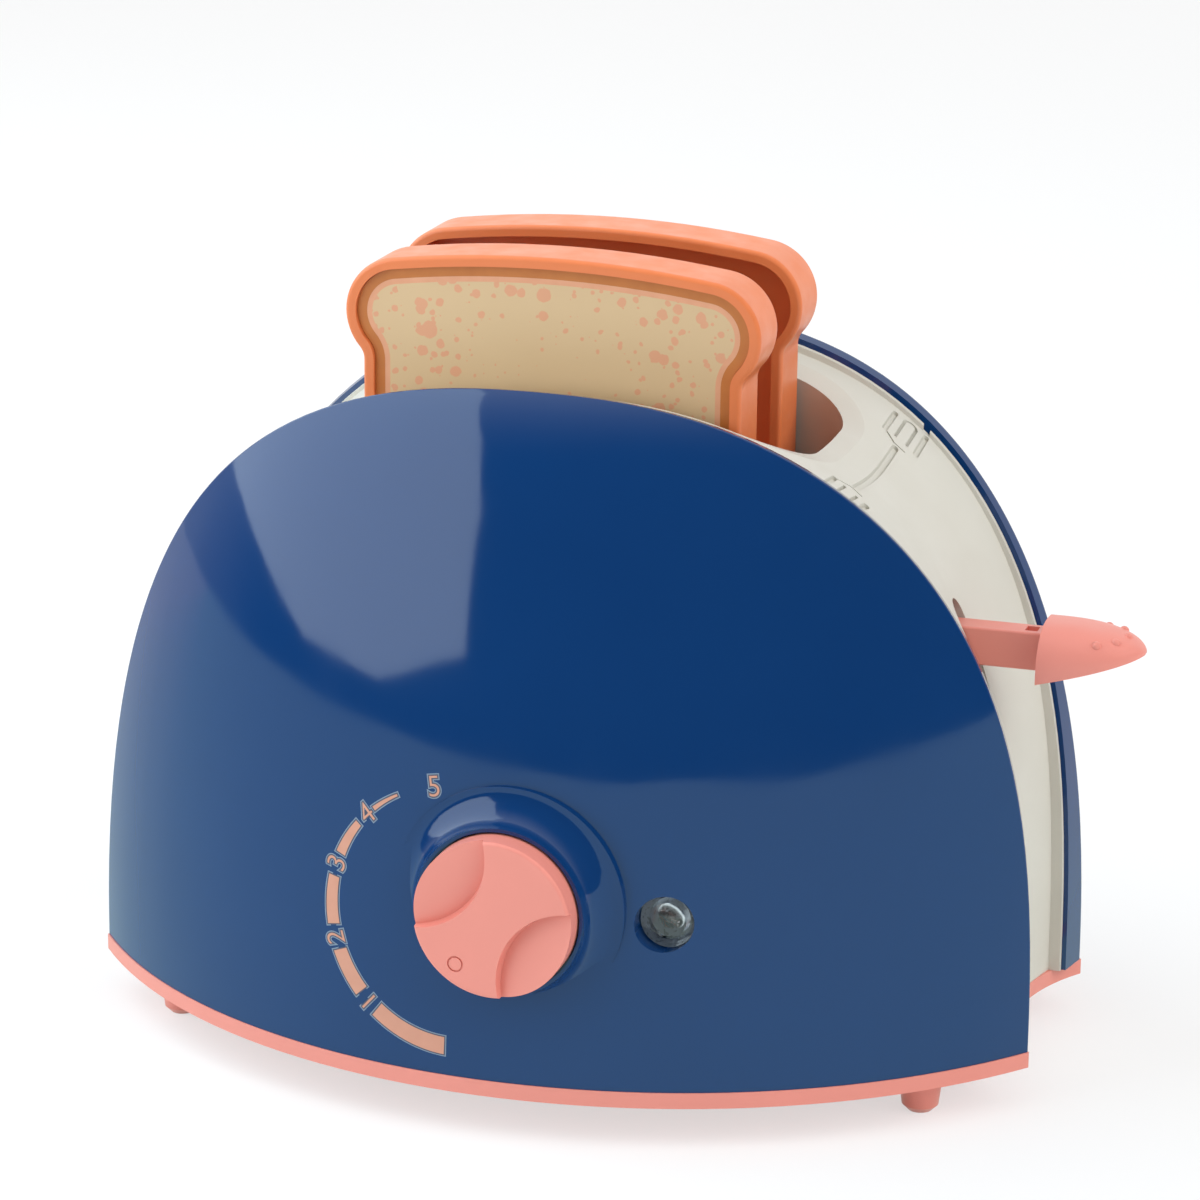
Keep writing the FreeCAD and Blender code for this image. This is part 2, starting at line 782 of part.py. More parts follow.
def cover_screws(side):
    seat_y = side * (ear_y - ear_thickness)
    return [screw(V(x, seat_y, z), V(0, side, 0), cover_screw_length) for x, z in cover_posts]


def door_screw():
    return screw(V(0, door_screw_y, door_screw_seat), V(0, 0, 1), door_screw_length)


# Battery bay
def batteries():
    cells = []
    for side in (-1, 1):
        y = side * (bay_inner_y - cell_radius - bay_clearance / 4)
        start = V(-side * cell_length / 2, y, cell_z)
        body = post(cell_radius, start, start + V(side * (cell_length - 1.2), 0, 0))
        nub = post(2.7, start, start + V(side * cell_length, 0, 0))
        cells.append(joined([body, nub]))
    return cells


def battery_contacts():
    """Sprung coils' cups at the flat ends, plates at the nubs."""
    plates = []
    for end in (-1, 1):
        x = end * bay_inner_x
        for side in (-1, 1):
            y = side * (bay_inner_y - cell_radius - bay_clearance / 4)
            back = x - end * 0.5
            plate = block(min(x, back), max(x, back), y - 5, y + 5, cell_z - 5, cell_z + 5)
            gap = bay_inner_x - 0.5 - cell_length / 2
            if end == side:
                bump = post(2.2, V(x, y, cell_z), V(x - end * (gap + 0.5), y, cell_z))
            else:
                bump = cone(4.4, 2.6, V(x, y, cell_z), V(x - end * (gap + 0.5), y, cell_z))
            plates.append(joined([plate, bump]))
    return plates


def suction_pad():
    return post(pad_radius, V(0, 0, bay_roof + bay_wall), V(0, 0, pad_top))


# Board, switch and wires
def circuit_board():
    board = block(board_x - board_length / 2, board_x + board_length / 2, board_y - board_width / 2,
                  board_y + board_width / 2, board_z, board_z + board_thickness)
    holes = [post(screw_radius + 0.2, V(x, y, 0), V(x, y, far)) for x, y in board_screws_at()]
    return board.cut(holes)


def board_parts():
    top = board_z + board_thickness
    chip = block(board_x - 6, board_x + 4, board_y - 4, board_y + 4, top, top + 2.2)
    can = post(2.5, V(board_x + 12, board_y - 6, top), V(board_x + 12, board_y - 6, top + 7))
    resistor = block(board_x - 14, board_x - 8, board_y + 5, board_y + 7, top, top + 1.8)
    return [chip, can, resistor]


def board_screws():
    top = board_z + board_thickness
    return [screw(V(x, y, top), V(0, 0, -1), small_screw_length) for x, y in board_screws_at()]


def leaf_switch():
    """Switch body on its stand and the leaf that the lowered carriage meets."""
    body_top = switch_stand + 8
    body = block(switch_x - 3.5, switch_x + 3.5, -4.5, 4.5, switch_stand, body_top)
    roller_z = tray_bottom - carriage_travel - stop_gap - roller_radius
    leaf = block(switch_x - 0.4, switch_x + 0.4, -3, 3, body_top, roller_z)
    roller = post(roller_radius, V(switch_x, -3, roller_z), V(switch_x, 3, roller_z))
    return joined([body, leaf, roller])


def led_wires():
    """Pair from the lamp's legs down the casing floor to the board."""
    wires = []
    for row in (-1, 1):
        x = lamp_x + row * led_leg_gap
        low = floor_top + 1.0 + (row + 1) * 0.8
        end_x = board_x + 13 + row
        points = [V(x, led_back_y, lamp_z), V(x, wire_drop_y, lamp_z), V(x, wire_drop_y, low),
                  V(end_x, -43, low), V(end_x, board_y + 4, low), V(end_x, board_y + 4, board_z)]
        wires.append(wire_run(points, wire_radius, wire_bend))
    return wires


# Lamp
def light_lens():
    """Clear dome with a flange that seats behind the panel."""
    rise = lens_edge - lens_front
    body_radius = lamp_hole_radius - lens_gap
    ball_radius = (body_radius ** 2 + rise ** 2) / (2 * rise)
    ball = Part.makeSphere(ball_radius, lamp_at(lens_front + ball_radius))
    shank = post(body_radius, lamp_at(lamp_seat_y), lamp_at(lens_front - 1)).common(ball)
    shank = shank.fuse(post(body_radius, lamp_at(lamp_seat_y), lamp_at(lens_edge)))
    flange = post(lens_flange_radius, lamp_at(lamp_seat_y), lamp_at(lamp_seat_y + lens_flange))
    bulb_room = post(led_radius + 1.2, lamp_at(lamp_seat_y + 2), lamp_at(lamp_seat_y - 1.4))
    return joined([shank, flange]).cut(bulb_room)


def lamp_reflector():
    front = lamp_seat_y + lens_flange
    body = post(lens_flange_radius, lamp_at(front), lamp_at(lamp_tube_end))
    neck_radius = led_radius + 0.4
    bowl = cone(lens_flange_radius - 0.8, neck_radius, lamp_at(front), lamp_at(led_flange_y - 1.5))
    bore = post(neck_radius, lamp_at(front), lamp_at(far))
    pocket = post(led_radius + 0.5, lamp_at(led_flange_y), lamp_at(far))
    return body.cut([bowl, bore, pocket])


def led_lamp():
    dome_y = lamp_seat_y - 0.6 + led_radius
    barrel = post(led_radius, lamp_at(led_flange_y), lamp_at(dome_y))
    dome = Part.makeSphere(led_radius, lamp_at(dome_y))
    base = post(led_radius + 0.5, lamp_at(led_flange_y), lamp_at(led_flange_y + 1.0))
    legs = []
    for row in (-1, 1):
        across = V(row * led_leg_gap, 0, 0)
        legs.append(post(0.3, lamp_at(led_flange_y + 0.5) + across, lamp_at(led_back_y) + across))
    return joined([barrel, dome, base] + legs)


# Rods and springs
def guide_rods():
    return [post(rod_radius, V(side * rod_x, 0, floor_top), V(side * rod_x, 0, rod_end)) for side in (-1, 1)]


def return_springs():
    """One compression spring round each rod, from its socket to the carriage hub."""
    bottom = rod_socket_top + spring_wire
    length = hub_bottom - rod_socket_top - 2 * spring_wire
    coils = []
    for side in (-1, 1):
        path = Part.makeHelix(length / spring_turns, length, spring_radius)
        section = Part.Wire(Part.makeCircle(spring_wire, V(spring_radius, 0, 0), V(0, 1, 0)))
        coil = Part.Wire(path).makePipeShell([section], True, True)
        coils.append(moved(coil, side * rod_x, 0, bottom))
    return coils


# Carriage
def slice_trays():
    """Shallow tray under each slice, open in the middle of its sides."""
    trays = []
    half_x = slice_half_width + slice_side_gap + tray_rib
    half_y = slice_thickness / 2 + slice_side_gap + tray_rib
    for side in (-1, 1):
        y = side * slice_y
        x = slice_shift
        tray = block(x - half_x, x + half_x, y - half_y, y + half_y, tray_bottom, tray_top + tray_rib_height)
        room = block(x - half_x + tray_rib, x + half_x - tray_rib, y - half_y + tray_rib,
                     y + half_y - tray_rib, tray_top, far)
        window = block(x - half_x * 0.6, x + half_x * 0.6, y - half_y, y + half_y, tray_top + 2, far)
        trays.append(tray.cut([room, window]))
    return trays


def lever_bracket():
    """Riser beside the right hub and the tongue that carries the lever arm."""
    riser_start = rod_x + rod_boss_radius + 0.6
    front = lever_y - bracket_half_y
    rear = lever_y + bracket_half_y
    tongue_end = arm_start + tongue_length
    tongue_front = lever_y - tongue_half_y
    tongue_rear = lever_y + tongue_half_y
    return [block(rod_x, arm_start, front, bracket_half_y, tray_bottom, hub_top),
            block(riser_start, arm_start, front, rear, tray_bottom, lever_z + tongue_half_z),
            block(riser_start, tongue_end, tongue_front, tongue_rear, lever_z - tongue_half_z,
                  lever_z + tongue_half_z)]


def toast_carriage():
    plate_end = rod_x - hub_radius + 1
    pieces = [block(-plate_end, plate_end, -8, 8, tray_bottom, tray_top)]
    pieces += slice_trays() + lever_bracket()
    for side in (-1, 1):
        pieces.append(post(hub_radius, V(side * rod_x, 0, hub_bottom), V(side * rod_x, 0, hub_top)))
    pieces.append(post(4.0, V(0, 0, cup_top), V(0, 0, tray_bottom + weld)))
    bores = [post(bush_radius, V(side * rod_x, 0, 0), V(side * rod_x, 0, far)) for side in (-1, 1)]
    bores.append(post(screw_radius, lever_screw_seat, lever_screw_seat + V(0, 0, -8)))
    return joined(pieces).cut(bores)


def carriage_bushes():
    bushes = []
    for side in (-1, 1):
        start = V(side * rod_x, 0, hub_bottom)
        bushes.append(ring(bush_radius, rod_radius + running_gap, start, start + V(0, 0, hub_height)))
    return bushes


def suction_cup():
    """Rubber cup under the carriage that grips the pad and lets go slowly."""
    bottom = pad_top + carriage_travel + stop_gap
    outside = [(0, cup_top), (4.5, cup_top), (5.0, bottom + 3.0), (cup_radius, bottom + 0.8),
               (cup_radius, bottom)]
    inside = [(cup_radius - 0.8, bottom), (4.0, bottom + 1.8), (0, bottom + 2.2)]
    return turned(outside + inside, V(0, 0, 0), V(0, 0, 1))


def lever_arm():
    """Square bar with a socket for the carriage's tongue and a tenon for the handle."""
    half = arm_width / 2
    arm = block(arm_start, handle_start, lever_y - half, lever_y + half, arm_bottom, arm_top)
    arm = arm.makeFillet(0.5, [edge for edge in arm.Edges if edge.Length > arm_width + arm_height])
    arm = joined([arm, handle_tenon(0.0)])
    socket = block(arm_start, arm_start + tongue_length + fit_gap, lever_y - tongue_half_y,
                   lever_y + tongue_half_y, lever_z - tongue_half_z, lever_z + tongue_half_z)
    snap = block(handle_start - 4.6, handle_start - 1.8, lever_y - arm_width / 4,
                 lever_y + arm_width / 4, arm_top - 1.2, arm_top + 1)
    screw_x = lever_screw_seat.x
    hole = post(screw_radius, V(screw_x, lever_y, arm_bottom + 1), V(screw_x, lever_y, far))
    sink = post(screw_head_radius + 0.15, lever_screw_seat, V(screw_x, lever_y, far))
    return arm.cut([socket, snap, hole, sink])


def handle_tenon(grow):
    """End of the arm that the handle is pressed on."""
    half_y = arm_width / 2 - tenon_inset + grow
    half_z = arm_height / 2 - tenon_inset + grow
    return block(handle_start - 0.5, handle_start + tenon_length + grow, lever_y - half_y,
                 lever_y + half_y, lever_z - half_z, lever_z + half_z)


def lever_screw():
    return screw(lever_screw_seat, V(0, 0, -1), small_screw_length)


def handle_bounds(run):
    """Half width, underside and crest of the handle at a distance from its flat inner end."""
    share = run / handle_length
    swell = (1 - share ** handle_taper) ** handle_fullness
    low = handle_bottom + (handle_tip_z - handle_bottom) * share
    high = handle_tip_z + (handle_top - handle_tip_z) * swell
    return handle_width / 2 * swell, low, high


def handle_section(run, inset):
    """Closed arch across the lever with a flat foot."""
    half, low, high = handle_bounds(run)
    half -= inset
    high -= inset
    points = []
    for step in range(13):
        angle = math.pi * step / 12
        across = -math.copysign(abs(math.cos(angle)) ** (2 / handle_taper), math.cos(angle))
        up = abs(math.sin(angle)) ** (2 / handle_taper) if 0 < step < 12 else 0.0
        points.append(V(handle_start + run, lever_y + half * across, low + (high - low) * up))
    curve = Part.BSplineCurve()
    curve.interpolate(Points=points, InitialTangent=V(0, 0, 1), FinalTangent=V(0, 0, -1))
    return Part.Wire([curve.toShape(), Part.LineSegment(points[-1], points[0]).toShape()])


def lever_handle():
    """Bullet-shaped grip, hollow underneath, with a socket for the arm and five nubs."""
    outer = Part.makeLoft([handle_section(run, 0) for run in handle_stations], True, False)
    hollow_runs = (tenon_length + 2 * handle_wall, 11.0, 14.0, 16.5)
    inner = Part.makeLoft([handle_section(run, handle_wall) for run in hollow_runs], True, False)
    inner = inner.fuse(moved(inner, z=-1.0))
    nubs = []
    for x, y, z in nub_centres():
        nubs.append(Part.makeSphere(nub_radius, V(x, y, z)))
    handle = joined([outer.cut(inner)] + nubs)
    return handle.cut(handle_tenon(0.0))


def nub_centres():
    """Grip nubs in a shallow bow that points at the tip."""
    places = []
    for run, spread in zip(nub_runs, nub_spreads):
        half, low, high = handle_bounds(run)
        across = spread / half
        rise = (1 - across ** handle_taper) ** (1 / handle_taper)
        z = low + (high - low) * rise - nub_radius * nub_sink
        for side in ((-1, 1) if spread else (1,)):
            places.append((handle_start + run, lever_y + side * spread, z))
    return places


# Dial
def dial_axis(y):
    return V(dial_x, y, dial_z)


def knob_scoop(along, side):
    """Tilted round cutter beside the knob's bar, deepest at the bar."""
    across = V(-along.z, 0, along.x) * side
    floor = dial_axis(-knob_front + scoop_depth)
    centre = floor + across * (grip_waist + scoop_radius)
    scoop = post(scoop_radius, centre, centre + V(0, -20, 0))
    scoop.rotate(floor + across * grip_waist, along, side * scoop_tilt)
    return scoop


def dial_knob():
    """Knob with two scooped grips either side of a waisted bar, and its stem."""
    cap = post(knob_radius, dial_axis(-knob_front + knob_depth), dial_axis(-knob_front))
    cap.rotate(dial_axis(0), V(0, 1, 0), 90)
    face_rim = [edge for edge in cap.Edges if edge.BoundBox.YMax < -knob_front + 0.01]
    cap = cap.makeFillet(knob_round, face_rim)
    angle = math.radians(marker_angle)
    along = V(math.cos(angle), 0, math.sin(angle))
    cap = cap.cut([knob_scoop(along, side) for side in (-1, 1)])
    mark = dial_axis(-knob_front) + along * marker_reach
    groove = ring(marker_radius, marker_radius - 0.4, mark + V(0, 0.4, 0), mark + V(0, -1, 0))
    stem = post(stem_radius, dial_axis(-knob_front + 3), dial_axis(stem_end))
    pilot = post(screw_radius, dial_axis(stem_end), dial_axis(stem_end - 9))
    return cap.cut(groove).fuse(stem).cut(pilot)


def dial_bush():
    """Flanged bearing pressed into the cover's boss."""
    front = -boss_front + recess_depth
    sleeve = post(stem_radius + bush_wall, dial_axis(front), dial_axis(wheel_front - 0.3))
    bore = post(stem_radius + running_gap, dial_axis(front - 1), dial_axis(0))
    return sleeve.cut(bore)


def click_wheel():
    """Toothed wheel on the stem that the click spring rides on."""
    points = []
    for tooth in range(click_teeth):
        for share, radius in ((0.0, click_radius - click_tooth), (0.5, click_radius)):
            angle = 2 * math.pi * (tooth + share) / click_teeth
            out = V(radius * math.cos(angle), 0, radius * math.sin(angle))
            points.append(dial_axis(wheel_front) + out)
    disc = Part.Face(Part.makePolygon(points + points[:1])).extrude(V(0, click_thickness, 0))
    return disc.cut(post(stem_radius, dial_axis(-90), dial_axis(0)))


def dial_screw():
    return screw(dial_axis(stem_end + washer_thickness), V(0, -1, 0), dial_screw_length)


def dial_washer():
    back = dial_axis(stem_end + washer_thickness)
    return ring(stem_radius + 2.5, screw_radius, dial_axis(stem_end), back)


def click_spring():
    """Bent leaf screwed beside the wheel, its tip just clear of the teeth."""
    y0 = click_back
    y1 = click_back + click_leaf
    right = click_seat.x + 2.5
    tip_x = dial_x + click_radius + stop_gap
    wheel_room = post(click_radius + stop_gap, dial_axis(-90), dial_axis(0))
    foot_plate = block(click_seat.x - 2.5, right, y0, y1, dial_z - 5, dial_z + 12)
    reach = block(tip_x, right, y0, y1, dial_z + 7, dial_z + 12).cut(wheel_room)
    tooth = block(tip_x, tip_x + 1.2, wheel_front + 0.5, y1, dial_z + 7, dial_z + 9).cut(wheel_room)
    hole = post(screw_radius + 0.1, click_seat + V(0, 5, 0), click_seat + V(0, -5, 0))
    return joined([foot_plate, reach, tooth]).cut(hole)


def click_screw():
    return screw(click_seat + V(0, click_leaf, 0), V(0, -1, 0), small_screw_length)


# Toast
def slice_outline(inset, y):
    """Bread outline facing the front, moved in by inset; the crown is one long arc."""
    lobe_x = slice_lobe_reach - slice_lobe_radius
    crown_z = slice_bottom + slice_height - slice_crown_radius
    lobe_z = crown_z + math.sqrt((slice_crown_radius - slice_lobe_radius) ** 2 - lobe_x ** 2)
    neck_x = slice_half_width + slice_neck_radius
    neck_z = lobe_z - math.sqrt((slice_neck_radius + slice_lobe_radius) ** 2 - (neck_x - lobe_x) ** 2)
    lobe = V(lobe_x, 0, lobe_z)
    neck = V(neck_x, 0, neck_z)
    crown = V(0, 0, crown_z)
    corner = V(slice_half_width - slice_corner_radius, 0, slice_bottom + slice_corner_radius)
    to_lobe = (lobe - neck).normalize()
    to_crown = (lobe - crown).normalize()
    corner_reach = slice_corner_radius - inset
    lobe_reach = slice_lobe_radius - inset
    neck_reach = slice_neck_radius + inset
    bend = V(math.sqrt(0.5), 0, -math.sqrt(0.5))
    foot_z = slice_bottom + inset
    side_x = slice_half_width - inset
    right = [V(0, 0, foot_z), V(corner.x, 0, foot_z), corner + bend * corner_reach,
             V(side_x, 0, corner.z), V(side_x, 0, neck_z),
             neck + (to_lobe + V(-1, 0, 0)).normalize() * neck_reach, neck + to_lobe * neck_reach,
             lobe + (V(1, 0, 0) + V(0, 0, 0.1)).normalize() * lobe_reach, lobe + to_crown * lobe_reach,
             V(0, 0, slice_bottom + slice_height - inset)]

    def place(point, side):
        return V(slice_shift + side * point.x, y, point.z)

    edges = []
    for side in (-1, 1):
        spots = [place(point, side) for point in right]
        edges.append(Part.LineSegment(spots[0], spots[1]).toShape())
        edges.append(Part.Arc(spots[1], spots[2], spots[3]).toShape())
        edges.append(Part.LineSegment(spots[3], spots[4]).toShape())
        edges.append(Part.Arc(spots[4], spots[5], spots[6]).toShape())
        edges.append(Part.Arc(spots[6], spots[7], spots[8]).toShape())
    left_top = place(right[8], -1)
    right_top = place(right[8], 1)
    edges.append(Part.Arc(left_top, place(right[9], 1), right_top).toShape())
    return Part.Wire(Part.__sortEdges__(edges))


def slice_slab(inset, y0, y1):
    return Part.Face(slice_outline(inset, y0)).extrude(V(0, y1 - y0, 0))


def toast_shell(side):
    """Hollow slice: its printed face looks outwards, its open back inwards."""
    outer = side * (slice_y + slice_thickness / 2)
    inner = side * (slice_y - slice_thickness / 2)
    slab = slice_slab(0, min(outer, inner), max(outer, inner))
    rims = [edge for edge in slab.Edges if edge.BoundBox.YLength < 0.01]
    slab = slab.makeFillet(slice_round, rims)
    face_floor = outer - side * print_recess
    back_floor = face_floor - side * slice_face
    front = slice_slab(slice_rim, min(face_floor, outer + side), max(face_floor, outer + side))
    back = slice_slab(slice_rim, min(back_floor, inner - side), max(back_floor, inner - side))
    return slab.cut([front, back])


def toast_print(side):
    """Printed card laid in the outer face's recess."""
    face_floor = side * (slice_y + slice_thickness / 2 - print_recess)
    top = face_floor + side * print_thickness
    return slice_slab(slice_rim + fit_gap, min(face_floor, top), max(face_floor, top))


def solids_of(shape):
    if isinstance(shape, list):
        return [solid for piece in shape for solid in piece.Solids]
    return shape.Solids


def build():
    return {
        "front_cover": front_cover(),
        "rear_cover": rear_cover(),
        "body_shell": body_shell(),
        "base_plate": base_plate(),
        "battery_door": battery_door(),
        "battery_door_screw": door_screw(),
        "base_screws": base_screws(),
        "front_cover_screws": cover_screws(-1),
        "rear_cover_screws": cover_screws(1),
        "batteries": batteries(),
        "battery_contacts": battery_contacts(),
        "suction_pad": suction_pad(),
        "circuit_board": circuit_board(),
        "board_parts": board_parts(),
        "board_screws": board_screws(),
        "leaf_switch": leaf_switch(),
        "led_wires": led_wires(),
        "light_lens": light_lens(),
        "lamp_reflector": lamp_reflector(),
        "led_lamp": led_lamp(),
        "guide_rods": guide_rods(),
        "dial_bush": dial_bush(),
        "click_spring": click_spring(),
        "click_screw": click_screw(),
        "return_springs": return_springs(),
        "toast_carriage": toast_carriage(),
        "carriage_bushes": carriage_bushes(),
        "suction_cup": suction_cup(),
        "lever_arm": lever_arm(),
        "lever_screw": lever_screw(),
        "lever_handle": lever_handle(),
        "dial_knob": dial_knob(),
        "click_wheel": click_wheel(),
        "dial_washer": dial_washer(),
        "dial_screw": dial_screw(),
        "front_toast": toast_shell(-1),
        "front_toast_print": toast_print(-1),
        "rear_toast": toast_shell(1),
        "rear_toast_print": toast_print(1),
    }


def main():
    os.makedirs("parts", exist_ok=True)
    for name, shape in build().items():
        solids = [solid.translated(-box_middle) for solid in solids_of(shape)]
        whole = solids[0] if len(solids) == 1 else Part.makeCompound(solids)
        whole.exportStep("parts/" + name + ".step")


if __name__ == "__main__":
    main()
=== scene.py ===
"""Toy toaster: the look of every surface, the dial's print, the toast cards, lights and camera."""

import math

import bmesh
import bpy
from mathutils import Matrix, Vector
from mathutils.bvhtree import BVHTree


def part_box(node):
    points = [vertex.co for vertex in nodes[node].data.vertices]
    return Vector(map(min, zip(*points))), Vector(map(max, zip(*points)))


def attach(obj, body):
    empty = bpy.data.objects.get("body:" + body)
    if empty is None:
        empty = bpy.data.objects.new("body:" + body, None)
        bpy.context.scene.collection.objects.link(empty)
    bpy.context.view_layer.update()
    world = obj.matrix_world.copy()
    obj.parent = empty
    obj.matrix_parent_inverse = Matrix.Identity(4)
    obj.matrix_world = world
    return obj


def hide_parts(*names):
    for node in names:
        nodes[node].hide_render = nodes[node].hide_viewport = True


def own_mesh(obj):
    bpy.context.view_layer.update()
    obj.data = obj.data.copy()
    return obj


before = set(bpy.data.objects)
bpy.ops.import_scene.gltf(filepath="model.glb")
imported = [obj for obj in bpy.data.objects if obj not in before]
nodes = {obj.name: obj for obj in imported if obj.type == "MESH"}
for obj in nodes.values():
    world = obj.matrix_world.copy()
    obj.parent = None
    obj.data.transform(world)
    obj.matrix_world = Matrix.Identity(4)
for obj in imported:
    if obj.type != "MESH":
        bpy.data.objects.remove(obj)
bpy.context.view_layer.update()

MM = 0.001

# Camera, at the photograph's place
CAMERA_AZIMUTH = math.radians(17.3)
CAMERA_ELEVATION = math.radians(16.7)
CAMERA_ROLL = math.radians(0.6)
CAMERA_PLACE = Vector((265.8, -873.45, 375.8)) * MM
CAMERA_LENS = 126.126
CAMERA_SENSOR_WIDTH = 36.0
CAMERA_SHIFT = (-0.0013, -0.0076)

# Studio
FLOOR_RADIUS = 30.0
FLOOR_DROP = 0.0001
FLOOR_TONE = (0.95, 0.95, 0.95, 1)
FLOOR_WHITE = 0.6
FLOOR_IN_GLOSS = (0.68, 0.92, 0.85, 1)
FLOOR_BEHIND_IN_GLOSS = (0.95, 0.95, 0.95, 1)
FLOOR_BEHIND_START = -0.05
FLOOR_BEHIND_FULL = 0.25
WORLD_FILL = 0.36
WORLD_IN_GLOSS = (0.03, 1.2)
GLOSS_BRIGHT_WAY = (-0.2, 0.83, 0.52)
GLOSS_BRIGHT_START = -0.1
GLOSS_BRIGHT_FULL = 0.9
SOFTBOX_DISTANCE = 1.3
SOFTBOX_LEVEL = 2.8
SOFTBOX_TONE = (0.88, 1.0, 1.06, 1)
SOFTBOX_OUTLINE = [(-23.5, 13), (-27, 34), (-40, 52), (-95, 68), (-130, 55), (-125, 22), (-89, 15),
                   (-60, 8), (-41, 8)]
FILL_SUNS = [("fill_right", 82, 36, 1.7), ("fill_top", 10, 75, 0.55)]
FILL_SUN_ANGLE = math.radians(50)

# Colours, sRGB 0 to 255, each with the tone of its faint clouds
BLUE = (12, 52, 102)
BLUE_CLOUD = (18, 60, 112)
CREAM = (207, 204, 193)
CREAM_CLOUD = (200, 196, 184)
PINK = (231, 142, 128)
PINK_CLOUD = (222, 137, 123)
ORANGE = (229, 126, 74)
ORANGE_CLOUD = (221, 117, 66)
CRUST = (200, 120, 56)
CRUST_CLOUD = (188, 108, 48)
CARD_LINE = (228, 164, 128)
CARD_LINE_CLOUD = (218, 150, 112)
CRUMB = (216, 184, 142)
CRUMB_CLOUD = (211, 178, 136)
CRUMB_SPOT = (222, 160, 124)
DIAL_PRINT = (208, 148, 124)
DIAL_PRINT_CLOUD = (200, 139, 115)
# The dial print's dark ring is painted shade just inside the print's raised rim
DIAL_PAINTED_SHADE = (74, 78, 98)
DIAL_PAINTED_SHADE_CLOUD = (66, 70, 88)
# The dial print's pale blue outer ring is a painted highlight along the print's raised rim
DIAL_EDGE_HIGHLIGHT = (128, 146, 166)
DIAL_EDGE_HIGHLIGHT_CLOUD = (112, 130, 152)

# Part of a noise's range over which a colour or a gloss changes
CLOUD_SPAN = (0.35, 0.75)
GLOSS_SPAN = (0.3, 0.7)

# Dial scale on the panel, in millimetres and degrees round its own centre
SCALE_CENTRE = (-15.5, 48.5)
SCALE_RADIUS = 28.8
SCALE_SEGMENTS = [(-88, -53.5, 4.0, 3.8), (-43, -23, 3.6, 3.4), (-11.5, 10, 3.0, 2.6), (21, 38, 2.3, 1.6),
                  (48.5, 62, 1.0, 0.5)]
SEGMENT_STEPS = 24
SCALE_NUMBERS = [("1", -48.6), ("2", -17.6), ("3", 16.0), ("4", 44.2), ("5", 80.2)]
NUMBER_HEIGHT = 4.7
FONT_SIZE_PER_HEIGHT = 1.4
NUMBER_THINNING = 0.06
PRINT_LIFT = 0.05
RAY_START_Y = -1.0
# Tiers of each printed mark as (name, widening in mm, share of the lift): the edge tier is a painted
# highlight ring, the shade tier a painted shade ring inside it, and the fill is the ink
PRINT_TIERS = (("edge", 0.5, 0.3), ("shade", 0.28, 0.6), ("fill", 0.0, 1.0))

# Toast cards
CRUST_WIDTH = 2.2
LINE_WIDTH = 1.2
SHARPEST_LEAN = 0.5
CRUST_SLOT, LINE_SLOT, CRUMB_SLOT = range(3)
SPOT_LAYERS = ((0.0066, 0.33, 0.95), (0.0046, 0.32, 0.90), (0.0030, 0.28, 0.75))
SPOT_WOBBLE = 0.0011
SPOT_WOBBLE_SCALE = 420
SPOT_EDGE = (-0.01, 0.02)

# Crowding of the spots: where it starts, where it is full, and how thick it is at each.
# The places are metres out from the card's middle, and metres down from its top.
SIDE_SPOTS = (0.010, 0.028, 0.28, 1.0)
TOP_SPOTS = (0.022, 0.006, 0.0, 0.85)


def linear(colour):
    """Scene-linear RGBA of an sRGB colour written 0 to 255."""
    parts = []
    for value in colour:
        share = value / 255
        parts.append(share / 12.92 if share <= 0.04045 else ((share + 0.055) / 1.055) ** 2.4)
    return (*parts, 1.0)


def towards(azimuth, elevation):
    """Unit vector from the object; azimuth 0 is -Y and 90 is +X."""
    a = math.radians(azimuth)
    e = math.radians(elevation)
    return Vector((math.sin(a) * math.cos(e), -math.cos(a) * math.cos(e), math.sin(e)))


# Camera and light
def make_camera():
    level = towards(math.degrees(CAMERA_AZIMUTH), math.degrees(CAMERA_ELEVATION))
    right = (-level).cross(Vector((0, 0, 1))).normalized()
    up = right.cross(-level)
    across = right * math.cos(CAMERA_ROLL) + up * math.sin(CAMERA_ROLL)
    upward = up * math.cos(CAMERA_ROLL) - right * math.sin(CAMERA_ROLL)
    data = bpy.data.cameras.new("camera")
    data.lens = CAMERA_LENS
    data.sensor_width = CAMERA_SENSOR_WIDTH
    data.shift_x, data.shift_y = CAMERA_SHIFT
    camera = bpy.data.objects.new("camera", data)
    turn = Matrix((across, upward, level)).transposed().to_4x4()
    camera.matrix_world = Matrix.Translation(CAMERA_PLACE) @ turn
    bpy.context.scene.collection.objects.link(camera)
    bpy.context.scene.camera = camera


def make_softbox():
    """Large panel light at the left, whose outline shows in the front cover."""
    corners = [towards(*place) * SOFTBOX_DISTANCE for place in SOFTBOX_OUTLINE]
    middle = sum(corners, Vector()) / len(corners)
    count = len(corners)
    faces = [(at, (at + 1) % count, count) for at in range(count)]
    mesh = bpy.data.meshes.new("softbox")
    mesh.from_pydata(corners + [middle], [], faces)
    softbox = bpy.data.objects.new("softbox", mesh)
    material = bpy.data.materials.new("softbox")
    material.use_nodes = True
    tree = material.node_tree
    tree.nodes.clear()
    glow = tree.nodes.new("ShaderNodeEmission")
    glow.inputs["Color"].default_value = SOFTBOX_TONE
    glow.inputs["Strength"].default_value = SOFTBOX_LEVEL
    out = tree.nodes.new("ShaderNodeOutputMaterial")
    tree.links.new(glow.outputs[0], out.inputs["Surface"])
    mesh.materials.append(material)
    bpy.context.scene.collection.objects.link(softbox)
    softbox.visible_camera = False
    softbox.visible_shadow = False


def make_suns():
    for name, azimuth, elevation, strength in FILL_SUNS:
        data = bpy.data.lights.new(name, "SUN")
        data.energy = strength
        data.angle = FILL_SUN_ANGLE
        sun = bpy.data.objects.new(name, data)
        sun.rotation_mode = "QUATERNION"
        sun.rotation_quaternion = towards(azimuth, elevation).to_track_quat("Z", "Y")
        sun.visible_glossy = False
        bpy.context.scene.collection.objects.link(sun)


